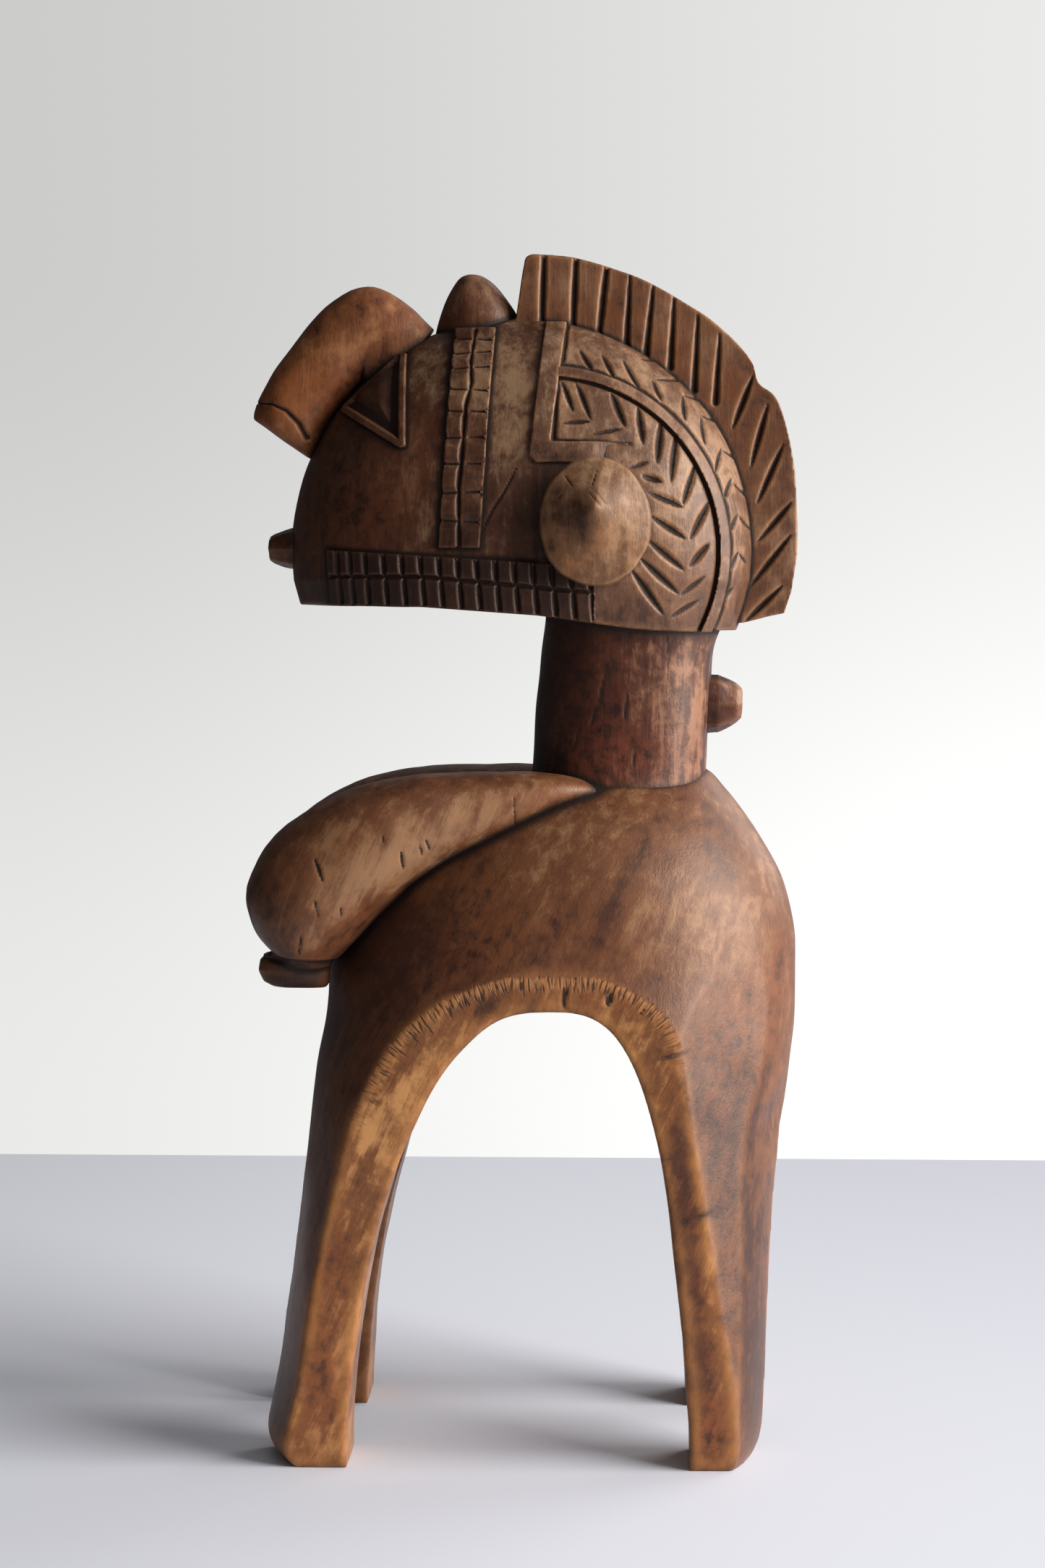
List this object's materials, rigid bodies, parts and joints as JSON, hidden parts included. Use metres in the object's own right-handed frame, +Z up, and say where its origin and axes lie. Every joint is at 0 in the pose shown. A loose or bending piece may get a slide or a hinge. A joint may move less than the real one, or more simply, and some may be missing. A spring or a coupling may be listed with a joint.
{
  "type": "carved wooden figurine",
  "caption": "Carved wooden shoulder figure: crested helmet head with hooked nose, on a column neck over a domed body with long breasts, standing on four legs.",
  "frame": {"origin": "centre of the figure's footprint, on the plane of its soles", "axes": "+Z up, -Y the way the figure faces, +X its left side"},
  "size_m": [0.11, 0.1745, 0.38],
  "materials": {
    "body_wood": "hand-rubbed brown patina, satin",
    "leg_wood": "worn ochre and brown patina, satin",
    "neck_wood": "dark reddish patina, satin",
    "face_wood": "dark brown patina, satin",
    "nose_wood": "worn orange-brown patina, satin",
    "ear_wood": "worn mid-brown patina, satin",
    "hair_wood": "mid-brown patina with dark gouges, satin"
  },
  "bodies": {
    "root": {"torso": "body_wood", "leg_front_left": "leg_wood", "leg_front_right": "leg_wood", "leg_rear_left": "leg_wood", "leg_rear_right": "leg_wood", "breast_left": "body_wood", "breast_right": "body_wood", "neck": "neck_wood", "nape_lug": "neck_wood", "face": "face_wood", "coiffure": "hair_wood", "crest": "hair_wood", "forehead_knob": "face_wood", "nose": "nose_wood", "mouth_lug": "face_wood", "eye_left": "face_wood", "eye_right": "face_wood", "cheek_band_left": "face_wood", "cheek_band_right": "face_wood", "jaw_band_left": "face_wood", "jaw_band_right": "face_wood", "ear_left": "ear_wood", "ear_right": "ear_wood", "border_left": "hair_wood", "border_right": "hair_wood", "braid_left": "hair_wood", "braid_right": "hair_wood"}
  },
  "joints": []
}
